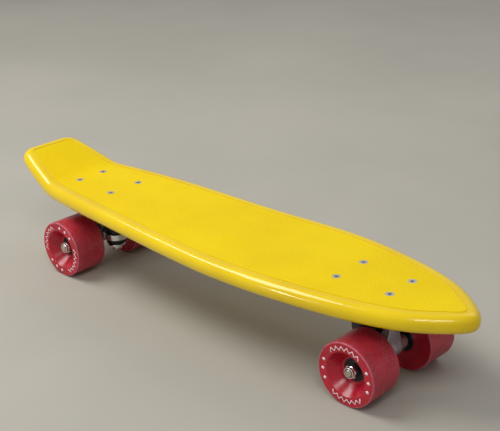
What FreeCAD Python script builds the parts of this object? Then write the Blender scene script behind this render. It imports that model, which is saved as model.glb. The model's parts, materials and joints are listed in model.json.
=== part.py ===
import FreeCAD, Part
import os
import re
import Sketcher

# A small moulded-plastic skateboard: millimetres, +X to the nose, +Z up, origin on the floor
# under the middle of the deck. Each piece is its own solid in its own node.

SIZES = [
    # deck
    ("deck_length", 660.0, "nose tip to tail edge"),
    ("deck_width", 161.0, "widest place, ahead of the middle"),
    ("rim_height", 19.5, "height of the fat rounded rim"),
    ("rim_round", 9.0, "radius that rounds the rim, above and below"),
    ("tail_corner", 20.0, "corner radius of the square tail"),
    ("rocker_dip", 3.0, "how far the deck sags between the trucks"),
    ("kick_margin", 5.5, "rear baseplate's end to where the kicktail breaks upwards"),
    ("kick_angle", 20.0, "slope of the kicktail in degrees"),
    ("kick_bend", 50.0, "radius of the bend, on the top face"),
    ("groove_inset", 13.0, "outline to the groove round the standing surface"),
    ("groove_width", 2.0, "width of that groove"),
    ("groove_depth", 0.5, "depth of that groove"),
    ("plate_thick", 9.5, "plate inside the rim"),
    ("rib_depth", 15.5, "deck top to the underside of the ribs"),
    ("rib_width", 4.0, "thickness of one rib"),
    ("rib_pitch", 47.0, "spacing of the cross ribs"),
    ("rib_side", 36.0, "centre line to a long side rib"),
    ("cavity_inset", 15.0, "outline to the hollow underside"),
    ("pad_thick", 12.0, "deck under each truck"),
    ("pad_margin", 4.0, "pad beyond the riser on each side"),
    # truck places
    ("truck_spacing", 414.0, "between the two bolt pattern centres"),
    ("truck_shift", 2.5, "middle of the trucks ahead of the middle of the deck"),
    ("bolt_length", 63.5, "bolt spacing along the board"),
    ("bolt_inner", 43.4, "bolt spacing across, towards the middle of the board"),
    ("bolt_outer", 36.6, "bolt spacing across, towards the ends"),
    ("bolt_diameter", 4.8, "number 10 deck screw"),
    ("bolt_play", 0.25, "radial room round a deck screw"),
    ("bolt_reach", 31.75, "deck screw length, head included"),
    ("screw_head", 9.3, "diameter of the flat head"),
    ("screw_drive", 4.6, "span of the cross recess"),
    ("deck_nut_flats", 9.5, "deck nut across flats"),
    ("deck_nut_height", 4.5, "deck nut height"),
    # riser and baseplate
    ("riser_thick", 8.0, "riser pad"),
    ("base_length", 84.0, "baseplate and riser along the board"),
    ("base_width", 58.0, "baseplate and riser across the board"),
    ("base_corner", 9.0, "corner radius of both"),
    ("base_thick", 7.0, "baseplate flange"),
    ("truck_height", 53.8, "baseplate top to axle"),
    ("boss_gap", 6.3, "hanger ring's top to the mouth of the kingpin boss"),
    ("boss_wall", 2.8, "wall of the boss round the upper bushing"),
    # kingpin stack
    ("ring_rise", 5.7, "hanger ring centre above the axle"),
    ("ring_setback", 7.5, "hanger ring centre from the pattern centre, towards the middle"),
    ("ring_thick", 8.0, "hanger ring along the kingpin"),
    ("ring_diameter", 31.0, "hanger ring"),
    ("ring_bore", 16.0, "hole in the hanger ring"),
    ("kingpin_diameter", 9.5, "kingpin shank"),
    ("kingpin_head", 15.0, "kingpin head"),
    ("head_height", 6.0, "kingpin head thickness"),
    ("head_sink", 0.2, "kingpin head below the baseplate top"),
    ("bushing_play", 0.2, "radial room between bushing and kingpin"),
    ("bushing_diameter", 26.6, "bushing at its fat end"),
    ("bushing_taper", 3.8, "loss of radius to the thin end"),
    ("upper_bushing", 11.0, "upper bushing height"),
    ("lower_bushing", 7.5, "lower bushing height"),
    ("cup_thick", 1.4, "washer sheet"),
    ("cup_lip", 1.0, "cup washer lip beyond its floor"),
    ("cup_play", 0.3, "radial room inside the cup washer lip"),
    ("kingpin_nut_flats", 14.3, "kingpin nut across flats"),
    ("kingpin_nut_height", 5.8, "kingpin nut height"),
    ("kingpin_tip", 1.0, "kingpin beyond its nut"),
    # pivot
    ("pivot_out", 31.0, "pivot cup centre outwards from the pattern centre"),
    ("pivot_rise", 38.5, "pivot cup centre above the axle"),
    ("pivot_diameter", 12.0, "hanger pivot stub"),
    ("pivot_play", 0.06, "running room round the stub"),
    ("pivot_gap", 0.6, "room beyond the end of the stub"),
    ("cup_diameter", 16.0, "pivot cup outside"),
    ("cup_length", 12.0, "pivot cup along the steering axis"),
    ("cup_floor", 2.0, "pivot cup floor"),
    ("socket_diameter", 22.0, "boss that holds the pivot cup"),
    # hanger and axle
    ("axle_out", 17.5, "axle outwards from the bolt pattern centre"),
    ("axle_diameter", 7.94, "axle, five sixteenths of an inch"),
    ("axle_play", 0.03, "radial room between axle and bearings"),
    ("arm_diameter", 16.0, "turned arm on each side of the hanger"),
    ("arm_bevel", 0.8, "bevelled end of the arm"),
    ("hub_diameter", 19.4, "hanger body round the axle"),
    ("hub_width", 26.0, "hanger body across the board"),
    ("neck_width", 22.0, "neck between the hanger's ring and its body"),
    ("web_width", 12.0, "rib behind the web"),
    ("web_foot", 26.0, "web at its foot, across the board"),
    ("web_top", 12.5, "web at its top, across the board"),
    ("web_thick", 5.6, "web along the board"),
    ("web_setback", 2.6, "web's outward face behind the hanger body's outermost line"),
    ("axle_tip", 0.8, "axle beyond its nut"),
    # wheel
    ("wheel_diameter", 69.0, "wheel over the tread"),
    ("wheel_width", 41.5, "wheel along the axle"),
    ("wheel_inner", 26.0, "board centre to the wheel's inner face"),
    ("wheel_round", 1.4, "rounded edge of the tread"),
    ("mouth_diameter", 47.6, "mouth of the dished recess"),
    ("dish_depth", 14.2, "depth of the recess"),
    ("floor_ledge", 1.0, "recess floor beyond the core"),
    ("core_wall", 1.7, "black core round its bearings"),
    ("core_play", 0.05, "clearance of the core in the tyre"),
    # 608 bearing
    ("bearing_outside", 22.0, "bearing outside diameter"),
    ("bearing_width", 7.0, "bearing width"),
    ("bearing_sink", 0.2, "bearing inside the core's face"),
    ("inner_land", 1.45, "inner ring shoulder inside the circle of ball centres"),
    ("outer_land", 1.6, "outer ring shoulder outside the circle of ball centres"),
    ("ball_diameter", 3.97, "ball"),
    ("ball_play", 0.03, "room between ball and groove"),
    ("cage_width", 5.2, "ball cage along the axle"),
    ("cage_thick", 1.5, "ball cage, radially"),
    ("pocket_play", 0.1, "room round a ball in the cage"),
    ("shield_thick", 0.5, "bearing shield"),
    ("shield_sink", 0.25, "shield below the bearing's face"),
    ("washer_rim", 2.0, "axle washer, from its hole to its edge"),
    ("washer_thick", 1.2, "axle washer thickness"),
    ("axle_nut_flats", 12.7, "axle nut across flats"),
    ("axle_nut_height", 8.6, "axle nut height, locking collar included"),
    ("collar_height", 2.6, "locking collar of a nut"),
    ("thread_play", 0.05, "radial room in a nut's thread"),
    ("tail_flat", 47.4, "straight part of the tail's edge"),
    ("head_edge", 0.4, "upright edge of a screw head"),
    ("slot_width", 1.2, "cross recess slot"),
    ("slot_depth", 1.7, "cross recess depth"),
    ("seat_play", 0.9, "radial room round the upper bushing in its seat"),
    ("seat_washer_play", 1.2, "radial room round the flat washer in that seat"),
    ("bushing_step", 1.5, "step of a bushing into the hanger ring"),
    ("bushing_relief", 0.8, "radial room round the bushings in the hanger"),
    ("stub_length", 16.0, "pivot stub, from its root to the cup's centre"),
    ("spacer_wall", 1.1, "wall of the spacer between the two bearings"),
    ("shield_gap", 0.3, "radial room between a shield and the inner ring"),
    ("mouth_round", 1.0, "rounded mouth of the recess"),
    ("nut_bevel", 0.6, "bevelled corners at the foot of a nut"),
    ("collar_inset", 0.3, "nut's flats to its locking collar"),
    ("collar_round", 0.8, "rolled edge of the locking collar"),
    ("axle_bevel", 0.8, "bevelled ends of the axle"),
    ("kingpin_bevel", 1.0, "bevelled end of the kingpin"),
    ("screw_bevel", 0.4, "bevelled end of a deck screw"),
    ("stub_round", 2.0, "rounded tip of the pivot stub"),
    ("bushing_foot", 0.5, "broken edge of a bushing's fat end"),
    ("neck_drop", 4.0, "neck below the ring where it meets the hanger body"),
    ("bearing_shoulder", 1.4, "step between the two bearing seats of the core"),
]
NAMES = {alias for alias, value, note in SIZES}
BALLS = 7
TRUCKS = {"front": 1, "rear": -1}
SIDES = {"left": 1, "right": -1}

doc = FreeCAD.newDocument("skateboard")
sheet = doc.addObject("Spreadsheet::Sheet", "sizes")
for row, (alias, value, note) in enumerate(SIZES, 1):
    sheet.set("A%d" % row, note)
    sheet.set("B%d" % row, str(value))
    sheet.setAlias("B%d" % row, alias)
doc.recompute()


def bound(expression):
    """An expression with every size name led back to its cell."""
    def led_back(word):
        return ("sizes." if word.group() in NAMES else "") + word.group()
    return re.sub(r"[a-z_]+", led_back, expression)


def number(expression):
    """The value of an expression of the sheet."""
    return float(sheet.evalExpression(bound(expression)))


def bind(thing, **values):
    for name, expression in values.items():
        thing.setExpression(name.replace("__", "."), bound(expression))


# Derived places, as expressions of the sheet.
AXLE_Z = "(wheel_diameter / 2)"
BASE_TOP = "(wheel_diameter / 2 + truck_height)"
PAD_Z = "(wheel_diameter / 2 + truck_height + riser_thick)"
DECK_Z = "(wheel_diameter / 2 + truck_height + riser_thick + pad_thick)"
NOSE_X = "(deck_length / 2)"
RING_X = "(0 - ring_setback)"
RING_Z = "(wheel_diameter / 2 + ring_rise)"
PIVOT_Z = "(wheel_diameter / 2 + pivot_rise)"
SEAT = "(ring_thick / 2 + upper_bushing + cup_thick)"
NUT_TOP = "(ring_thick / 2 + lower_bushing + cup_thick)"
OUTER_BEARING = "(wheel_width - dish_depth - bearing_sink - bearing_width)"
HEAD_DEPTH = "((screw_head - bolt_diameter) / 2)"
BOSS_DROP = "(truck_height - ring_rise - ring_thick / 2 - boss_gap)"
SEAT_DIAMETER = "(bushing_diameter + 2 * seat_play)"
HEAD_SEAT = "(truck_height - ring_rise - head_height - head_sink)"
STEER_ANGLE = "atan((pivot_rise - ring_rise) / (pivot_out + ring_setback))"
STEER_LEAN = "atan((pivot_out + ring_setback) / (pivot_rise - ring_rise))"
ARM_REACH = "(wheel_inner + bearing_sink - washer_thick)"
AXLE_NUT = "(wheel_inner + wheel_width - dish_depth - bearing_sink + washer_thick)"
BEARING_Y = ["wheel_inner + bearing_sink", "wheel_inner + " + OUTER_BEARING]
BEARING_BORE = "(axle_diameter + 2 * axle_play)"
BALL_PITCH = "((axle_diameter + 2 * axle_play + bearing_outside) / 2)"
CORE_DIAMETER = "(bearing_outside + 2 * core_wall)"
KICK_START = "(truck_spacing / 2 - truck_shift + base_length / 2 + kick_margin)"

UPSIDE_DOWN = FreeCAD.Rotation(FreeCAD.Vector(1, 0, 0), 180)
OUTWARD = {side: FreeCAD.Rotation(FreeCAD.Vector(1, 0, 0), -90 * sign) for side, sign in SIDES.items()}


# ---------------------------------------------------------------- sketch and feature helpers
def new_body(name):
    return doc.addObject("PartDesign::Body", name)


def hold(sketch, geometry, end, x, y):
    """Ties one point of a sketch to two expressions of the sheet."""
    for kind, expression, axis in (("DistanceX", x, -2), ("DistanceY", y, -1)):
        if expression == "0":
            sketch.addConstraint(Sketcher.Constraint("PointOnObject", geometry, end, axis))
            continue
        place = sketch.addConstraint(
            Sketcher.Constraint(kind, -1, 1, geometry, end, number(expression)))
        sketch.setExpression("Constraints[%d]" % place, bound(expression))


def new_sketch(body, plane, lift="0"):
    """A sketch on one of the body's own origin planes, lifted along its normal."""
    sketch = body.newObject("Sketcher::SketchObject", body.Name + "_sketch")
    origin_plane = [item for item in body.Origin.OriginFeatures if item.Role == plane][0]
    sketch.AttachmentSupport = [(origin_plane, "")]
    sketch.MapMode = "FlatFace"
    if lift != "0":
        bind(sketch, AttachmentOffset__Base__z=lift)
    return sketch


def add_outline(sketch, corners):
    """A closed outline of straight lines; every corner is a pair of expressions."""
    first = sketch.GeometryCount
    points = [FreeCAD.Vector(number(x), number(y), 0) for x, y in corners]
    ends = points[1:] + points[:1]
    sketch.addGeometry([Part.LineSegment(a, b) for a, b in zip(points, ends)])
    for i, (x, y) in enumerate(corners):
        after = first + (i + 1) % len(corners)
        sketch.addConstraint(Sketcher.Constraint("Coincident", first + i, 2, after, 1))
        hold(sketch, first + i, 1, x, y)
    return sketch


def add_circle(sketch, x, y, diameter):
    centre = FreeCAD.Vector(number(x), number(y), 0)
    circle = sketch.addGeometry(Part.Circle(centre, FreeCAD.Vector(0, 0, 1), number(diameter) / 2))
    hold(sketch, circle, 3, x, y)
    place = sketch.addConstraint(Sketcher.Constraint("Diameter", circle, number(diameter)))
    sketch.setExpression("Constraints[%d]" % place, bound(diameter))
    return sketch


def box_corners(x, y, wide, high):
    """Corners of a rectangle centred on x, y."""
    return [("%s %s %s / 2" % (x, sx, wide), "%s %s %s / 2" % (y, sy, high))
            for sx, sy in (("-", "-"), ("+", "-"), ("+", "+"), ("-", "+"))]


def hexagon(flats):
    """Corners of a hexagon about the origin, given across its flats."""
    return [("%s / 2 / cos(30) * cos(%d)" % (flats, turn), "%s / 2 / cos(30) * sin(%d)" % (flats, turn))
            for turn in range(15, 375, 60)]


def feature(body, kind, sketch, **values):
    made = body.newObject("PartDesign::" + kind, body.Name + "_" + kind.lower())
    made.Profile = sketch
    bind(made, **values)
    return made


def pad(body, sketch, length, both_ways=False, reverse=False):
    made = feature(body, "Pad", sketch, Length=length)
    made.Midplane = both_ways
    made.Reversed = reverse
    return made


def pocket(body, sketch, length, both_ways=False, reverse=False):
    made = feature(body, "Pocket", sketch, Length=length)
    made.Midplane = both_ways
    made.Reversed = reverse
    return made


def spin(body, sketch, kind="Revolution"):
    """Turns a section on the XZ plane once round the body's Z axis."""
    made = feature(body, kind, sketch)
    made.ReferenceAxis = (sketch, ["V_Axis"])
    made.Angle = 360
    return made


def round_edges(body, radius, chosen, kind="Fillet", size="Radius"):
    """Rounds (or bevels) the edges of the body's tip that chosen() picks."""
    doc.recompute()
    base = body.Tip
    edges = ["Edge%d" % i for i, edge in enumerate(base.Shape.Edges, 1) if chosen(edge)]
    made = body.newObject("PartDesign::" + kind, body.Name + "_" + kind.lower())
    made.Base = (base, edges)
    bind(made, **{size: radius})
    return made


def turned(name, section):
    """A turned piece: a closed section of (radius, height) turned about Z."""
    body = new_body(name)
    spin(body, add_outline(new_sketch(body, "XZ_Plane"), section))
    return body


def ring_section(inner, outer, low, high):
    """Section of a plain ring, given by diameters."""
    return [(inner + " / 2", low), (outer + " / 2", low), (outer + " / 2", high), (inner + " / 2", high)]


def ring_at(radius, height):
    """Picks the circular edges of one radius at one height."""
    wanted = (number(radius), number(height))

    def chosen(edge):
        if not isinstance(edge.Curve, Part.Circle):
            return False
        return abs(edge.Curve.Radius - wanted[0]) < 0.01 and abs(edge.Curve.Center.z - wanted[1]) < 0.01
    return chosen


def place(thing, x="0", y="0", z="0", turn=FreeCAD.Rotation()):
    """Puts a thing at a place given by expressions."""
    thing.Placement = FreeCAD.Placement(FreeCAD.Vector(), turn)
    bind(thing, Placement__Base__x=x, Placement__Base__y=y, Placement__Base__z=z)
    return thing


def copy_of(source, x="0", y="0", z="0", turn=FreeCAD.Rotation()):
    link = doc.addObject("App::Link", source.Name + "_copy")
    link.LinkedObject = source
    return place(link, x, y, z, turn)


def combine(kind, name, first, second):
    made = doc.addObject("Part::" + kind, name)
    made.Base = first
    made.Tool = second
    return made


def gather(name, pieces):
    """One object that holds several separate solids."""
    made = doc.addObject("Part::Compound", name)
    made.Links = pieces
    return made


nodes = {}


def keep(name, thing):
    thing.Label = name
    nodes[name] = thing
    return thing

# ---------------------------------------------------------------- deck
# Half widths of the outline at stations along the deck, as shares of half its length and of
# half its width: a long taper to the tail, the widest place forward, a pointed round nose.
STATIONS = [(-0.75, 0.712), (-0.417, 0.861), (-0.053, 0.955), (0.295, 1.0), (0.44, 0.966),
            (0.583, 0.884), (0.765, 0.708), (0.856, 0.5565), (0.947, 0.297)]
TAIL_FLARE = 0.28
CROSS_RIBS = range(-6, 7)


def smooth(points):
    """A curve through points of the outline, from one tail corner round the nose to the other.
    Its parameter is the distance along it, so both sides come out alike."""
    travel = [0.0]
    for here, there in zip(points, points[1:]):
        travel.append(travel[-1] + (there - here).Length)
    curve = Part.BSplineCurve()
    curve.interpolate(Points=points, Parameters=travel, Scale=False,
                      InitialTangent=FreeCAD.Vector(1, -TAIL_FLARE, 0).normalize(),
                      FinalTangent=FreeCAD.Vector(-1, -TAIL_FLARE, 0).normalize())
    return curve


def other_side(point):
    return FreeCAD.Vector(point.x, -point.y, point.z)


def outline(inset):
    """The deck's outline in plan, moved inwards: one smooth curve along both sides and round
    the nose, two round corners and the straight edge of the tail."""
    long_half = number(NOSE_X)
    wide_half = number("deck_width / 2")
    corner = number("tail_corner")
    outward = FreeCAD.Vector(-TAIL_FLARE, 1, 0).normalize()
    centre = FreeCAD.Vector(corner - long_half, number("tail_flat / 2"), 0)
    left = [centre + outward * corner]
    left += [FreeCAD.Vector(along * long_half, wide * wide_half, 0) for along, wide in STATIONS]
    points = [other_side(point) for point in left] + [FreeCAD.Vector(long_half, 0, 0)] + left[::-1]
    sides = smooth(points)
    if inset:
        slopes = [sides.tangent(sides.parameter(point))[0] for point in points]
        sides = smooth([point + FreeCAD.Vector(-slope.y, slope.x, 0).normalize() * inset
                        for point, slope in zip(points, slopes)])
    radius = corner - inset
    start, end = centre + outward * radius, centre - FreeCAD.Vector(radius, 0, 0)
    middle = centre + ((start + end) * 0.5 - centre).normalize() * radius
    return [sides, Part.Arc(start, middle, end), Part.LineSegment(end, other_side(end)),
            Part.Arc(other_side(end), other_side(middle), other_side(start))]


def level(depth, overhang):
    """The curve that lies some depth below the deck's top, seen from the side and drawn from
    tail to nose: kicktail, bend, flat under the rear truck, rocker, flat to the nose."""
    top = number(DECK_Z)
    angle = FreeCAD.Vector(number("cos(kick_angle)"), number("sin(kick_angle)"), 0)
    radius = number("kick_bend") + depth
    bend_x = number("kick_bend * tan(kick_angle / 2) - " + KICK_START)
    bend_z = top + number("kick_bend")
    foot = FreeCAD.Vector(bend_x, top - depth, 0)
    brink = FreeCAD.Vector(bend_x - radius * angle.y, bend_z - radius * angle.x, 0)
    half = number("cos(kick_angle / 2)")
    waist = FreeCAD.Vector(bend_x - radius * number("sin(kick_angle / 2)"), bend_z - radius * half, 0)
    reach = number(NOSE_X) + overhang
    tip = FreeCAD.Vector(-reach, brink.y + (reach + brink.x) * angle.y / angle.x, 0)
    rear = number("truck_shift - truck_spacing / 2 + base_length / 2")
    front = number("truck_shift + truck_spacing / 2 - base_length / 2")
    lowest = FreeCAD.Vector(number("deck_length * 0.045"), top - depth - number("rocker_dip"), 0)
    rear_end = FreeCAD.Vector(rear, top - depth, 0)
    front_end = FreeCAD.Vector(front, top - depth, 0)
    forward = FreeCAD.Vector(1, 0, 0)
    rocker = Part.BSplineCurve()
    rocker.interpolate(Points=[rear_end, lowest, front_end], InitialTangent=forward, FinalTangent=forward)
    nose = FreeCAD.Vector(reach, top - depth, 0)
    return [Part.LineSegment(tip, brink), Part.Arc(brink, waist, foot), Part.LineSegment(foot, rear_end),
            rocker, Part.LineSegment(front_end, nose)]


def slab(name, upper, lower):
    """Everything between two depths below the deck's top, wider and longer than the deck."""
    body = new_body(name)
    overhang = 12
    above, below = level(number(upper), overhang), level(number(lower), overhang)
    sketch = new_sketch(body, "XZ_Plane")
    sketch.addGeometry(above + below)
    sketch.addGeometry(Part.LineSegment(above[-1].EndPoint, below[-1].EndPoint))
    sketch.addGeometry(Part.LineSegment(above[0].StartPoint, below[0].StartPoint))
    pad(body, sketch, "deck_width + 30", both_ways=True)
    return body


def trim_outside(body, inset):
    """Cuts away all that lies outside the outline moved inwards by inset."""
    sketch = new_sketch(body, "XY_Plane")
    add_outline(sketch, box_corners("0", "0", "(deck_length + 80)", "(deck_width + 80)"))
    sketch.addGeometry(outline(number(inset)))
    pocket(body, sketch, "4 * " + DECK_Z, both_ways=True)


def trim_inside(body, inset):
    sketch = new_sketch(body, "XY_Plane")
    sketch.addGeometry(outline(number(inset)))
    pocket(body, sketch, "4 * " + DECK_Z, both_ways=True)


def stands_up(face):
    """True for a face of the outline's wall: its normal is level."""
    low, high, left, right = face.ParameterRange
    return abs(face.normalAt((low + high) / 2, (left + right) / 2).z) < 1e-4


def rim_edges(shape):
    """Names of the edges where the outline's wall meets the top or the underside."""
    names = []
    for index, edge in enumerate(shape.Edges, 1):
        faces = shape.ancestorsOfType(edge, Part.Face)
        walls = [face for face in faces if stands_up(face)]
        if len(walls) == 1:
            names.append("Edge%d" % index)
    return names


def truck_x(end, out="0"):
    """World X of a place measured outwards from one truck's bolt pattern centre."""
    return "truck_shift + %d * (truck_spacing / 2 + (%s))" % (TRUCKS[end], out)


def screw_places(end):
    """The four screws of one truck: pairs of expressions."""
    pairs = (("0 - bolt_length / 2", "bolt_inner"), ("bolt_length / 2", "bolt_outer"))
    return [(truck_x(end, out), "%d * %s / 2" % (side, wide)) for out, wide in pairs for side in (1, -1)]


def block(x, y, z, long, wide, high):
    """A plain block centred on x, y with its floor at z."""
    made = doc.addObject("Part::Box", "block")
    bind(made, Length=long, Width=wide, Height=high)
    return place(made, "%s - (%s) / 2" % (x, long), "%s - (%s) / 2" % (y, wide), z)


def make_deck():
    blank = slab("deck_blank", "0", "rim_height")
    trim_outside(blank, "0")
    doc.recompute()
    square = blank.Tip
    rounded = blank.newObject("PartDesign::Fillet", "rim_fillet")
    rounded.Base = (square, rim_edges(square.Shape))
    bind(rounded, Radius="rim_round")

    groove = slab("deck_groove", "0 - 6", "groove_depth")
    trim_outside(groove, "groove_inset")
    trim_inside(groove, "groove_inset + groove_width")

    hollow = slab("deck_hollow", "plate_thick", "60")
    trim_outside(hollow, "cavity_inset")
    pads = new_sketch(hollow, "XY_Plane", PAD_Z)
    for end in TRUCKS:
        add_outline(pads, box_corners(truck_x(end), "0", "(base_length + 2 * pad_margin)",
                                      "(base_width + 2 * pad_margin)"))
    pocket(hollow, pads, "rim_height + kick_bend", reverse=True)

    rails = [block("0", "%d * rib_side" % side, "0", "deck_length + 20", "rib_width", "2 * " + DECK_Z)
             for side in (-1, 0, 1)]
    rails += [block("%d * rib_pitch" % step, "0", "0", "rib_width", "deck_width + 20", "2 * " + DECK_Z)
              for step in CROSS_RIBS]
    grid = doc.addObject("Part::MultiFuse", "rib_grid")
    grid.Shapes = rails
    ribs = combine("Common", "ribs", slab("rib_slab", "plate_thick - 2", "rib_depth"), grid)
    bays = doc.addObject("Part::MultiFuse", "truck_bays")
    bays.Shapes = [block(truck_x(end), "0", "0", "base_length + 2 * pad_margin",
                         "base_width + 2 * pad_margin", "2 * " + DECK_Z) for end in TRUCKS]
    ribs = combine("Cut", "ribs_clear_of_trucks", ribs, bays)
    hollow = combine("Cut", "ribbed_hollow", hollow, ribs)

    hole = turned("screw_hole", [
        ("0", "1"), ("screw_head / 2", "1"), ("screw_head / 2", "0 - head_edge"),
        ("bolt_diameter / 2 + bolt_play", "0 - head_edge - %s + bolt_play" % HEAD_DEPTH),
        ("bolt_diameter / 2 + bolt_play", "0 - 3 * pad_thick"), ("0", "0 - 3 * pad_thick")])
    holes = gather("screw_holes", [
        copy_of(hole, x, y, DECK_Z) for end in TRUCKS for x, y in screw_places(end)])
    shell = combine("Cut", "deck_shell", blank, hollow)
    grooved = combine("Cut", "deck_grooved", shell, groove)
    keep("deck", combine("Cut", "deck", grooved, holes))


# ---------------------------------------------------------------- deck screws and nuts
def make_screws():
    screw = turned("deck_screw", [
        ("0", "0"), ("screw_head / 2", "0"), ("screw_head / 2", "0 - head_edge"),
        ("bolt_diameter / 2", "0 - head_edge - " + HEAD_DEPTH),
        ("bolt_diameter / 2", "screw_bevel - bolt_reach"),
        ("bolt_diameter / 2 - screw_bevel", "0 - bolt_reach"),
        ("0", "0 - bolt_reach")])
    for wide, high in (("screw_drive", "slot_width"), ("slot_width", "screw_drive")):
        pocket(screw, add_outline(new_sketch(screw, "XY_Plane"), box_corners("0", "0", wide, high)),
               "slot_depth")
    nut = make_nut("deck_nut", "deck_nut_flats", "deck_nut_height", "bolt_diameter")
    for end in TRUCKS:
        keep(end + "_deck_screws", gather(end + "_screws", [
            copy_of(screw, x, y, DECK_Z) for x, y in screw_places(end)]))
        keep(end + "_deck_nuts", gather(end + "_nuts", [
            copy_of(nut, x, y, BASE_TOP + " - base_thick", turn=UPSIDE_DOWN)
            for x, y in screw_places(end)]))


def make_nut(name, flats, height, thread):
    """A locking nut that stands on Z = 0: a bevelled hexagon under a round collar."""
    nut = new_body(name)
    flat_part = "%s - collar_height" % height
    pad(nut, add_outline(new_sketch(nut, "XY_Plane"), hexagon(flats)), flat_part)
    round_edges(nut, "nut_bevel", lambda edge: abs(edge.CenterOfMass.z) < 1e-6, "Chamfer", "Size")
    collar = add_circle(new_sketch(nut, "XY_Plane"), "0", "0", flats + " - 2 * collar_inset")
    pad(nut, collar, height)
    bore = add_circle(new_sketch(nut, "XY_Plane"), "0", "0", "%s + 2 * thread_play" % thread)
    pocket(nut, bore, height, reverse=True)
    round_edges(nut, "collar_round", ring_at("%s / 2 - collar_inset" % flats, height))
    return nut


# ---------------------------------------------------------------- truck
def truck_turn(end):
    """The rear truck is the front one turned half round."""
    return FreeCAD.Rotation(FreeCAD.Vector(0, 0, 1), 0 if TRUCKS[end] == 1 else 180)


def on_kingpin(along, x=RING_X, z=RING_Z):
    """A place on the kingpin, measured upwards from the hanger ring's centre."""
    return x, "%s + (%s)" % (z, along)


def leaning_sketch(body, place_x, place_z, angle):
    """A sketch whose normal leans from +Z towards +X, about the Y axis."""
    sketch = new_sketch(body, "XY_Plane")
    sketch.AttachmentOffset = FreeCAD.Placement(
        FreeCAD.Vector(), FreeCAD.Rotation(FreeCAD.Vector(0, 1, 0), number(angle)))
    bind(sketch, AttachmentOffset__Base__x=place_x, AttachmentOffset__Base__z=place_z)
    return sketch


def level_circle(body, place_x, place_z, diameter):
    """A level circle about a place on the middle plane."""
    sketch = new_sketch(body, "XY_Plane", place_z)
    return add_circle(sketch, place_x, "0", diameter)


def on_steering(along, x="pivot_out", z=PIVOT_Z):
    """A place on the steering axis, measured outwards from the pivot cup's centre."""
    return "%s + (%s) * cos(%s)" % (x, along, STEER_ANGLE), "%s + (%s) * sin(%s)" % (z, along, STEER_ANGLE)


def plate_with_holes(name, thick):
    """A round-cornered plate with the four screw holes, its top on Z = 0."""
    plate = new_body(name)
    pad(plate, add_outline(new_sketch(plate, "XY_Plane"), box_corners("0", "0", "base_length", "base_width")),
        thick, reverse=True)
    half = number("base_length / 2"), number("base_width / 2")

    def upright(edge):
        middle = edge.CenterOfMass
        return abs(abs(middle.x) - half[0]) < 1e-6 and abs(abs(middle.y) - half[1]) < 1e-6
    round_edges(plate, "base_corner", upright)
    return plate


def drill_screw_holes(plate, depth):
    sketch = new_sketch(plate, "XY_Plane")
    for out, wide in (("0 - bolt_length / 2", "bolt_inner"), ("bolt_length / 2", "bolt_outer")):
        for side in (1, -1):
            add_circle(sketch, out, "%d * %s / 2" % (side, wide), "bolt_diameter + 2 * bolt_play")
    pocket(plate, sketch, depth)


def make_riser():
    riser = plate_with_holes("riser_pad", "riser_thick")
    drill_screw_holes(riser, "riser_thick")
    return riser


def make_baseplate():
    """Flange, a boss for the kingpin with a round seat for the upper bushing, and a socket
    for the pivot cup. Its own origin is the bolt pattern centre on its top face."""
    base = plate_with_holes("truck_base", "base_thick")
    ring_z = "ring_rise - truck_height"
    boss = level_circle(base, RING_X, "0 - " + BOSS_DROP, SEAT_DIAMETER + " + 2 * boss_wall")
    pad(base, boss, BOSS_DROP + " - base_thick / 2")
    pivot = on_steering("0 - cup_length / 2", "pivot_out", "pivot_rise - truck_height")
    pad(base, add_circle(leaning_sketch(base, *pivot, STEER_LEAN), "0", "0", "socket_diameter"),
        "cup_length + cup_floor + 2")
    trim = add_outline(new_sketch(base, "XZ_Plane"), [
        ("0 - base_length", "0"), ("base_length", "0"), ("base_length", "base_length"),
        ("0 - base_length", "base_length")])
    pocket(base, trim, "3 * base_width", both_ways=True)
    pocket(base, add_circle(leaning_sketch(base, *pivot, STEER_LEAN), "0", "0", "cup_diameter"),
           "cup_length", reverse=True)
    pocket(base, level_circle(base, *on_kingpin(SEAT, RING_X, ring_z), SEAT_DIAMETER), BOSS_DROP)
    pocket(base, level_circle(base, RING_X, ring_z, "kingpin_diameter"), "2 * truck_height", reverse=True)
    head = on_kingpin(HEAD_SEAT, RING_X, ring_z)
    pocket(base, level_circle(base, *head, "kingpin_head"), "truck_height", reverse=True)
    drill_screw_holes(base, "base_thick")
    return base


def make_kingpin():
    """Origin at the hanger ring's centre, Z along the kingpin."""
    tip = "(0 - %s - kingpin_nut_height - kingpin_tip)" % NUT_TOP
    return turned("truck_kingpin", [
        ("0", tip), ("kingpin_diameter / 2 - kingpin_bevel", tip),
        ("kingpin_diameter / 2", tip + " + kingpin_bevel"),
        ("kingpin_diameter / 2", HEAD_SEAT), ("kingpin_head / 2", HEAD_SEAT),
        ("kingpin_head / 2", HEAD_SEAT + " + head_height"), ("0", HEAD_SEAT + " + head_height")])


def make_bushing(name, height):
    """A bushing that stands on the hanger ring at Z = 0, fat end down, with a short step that
    centres it in the ring's hole."""
    bore, fat = "kingpin_diameter / 2 + bushing_play", "bushing_diameter / 2"
    thin = fat + " - bushing_taper"
    step = "ring_bore / 2 - bushing_play"
    return turned(name, [
        (bore, "0 - bushing_step"), (step, "0 - bushing_step"), (step, "0"),
        (fat + " - bushing_foot", "0"), (fat, "bushing_foot"), (fat, height + " * 0.35"),
        (thin, height), (bore, height)])


def make_upper_washer():
    bore = "(kingpin_diameter + 2 * bushing_play)"
    return turned("upper_washer", ring_section(
        bore, "(%s - 2 * seat_washer_play)" % SEAT_DIAMETER, "0", "cup_thick"))


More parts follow.
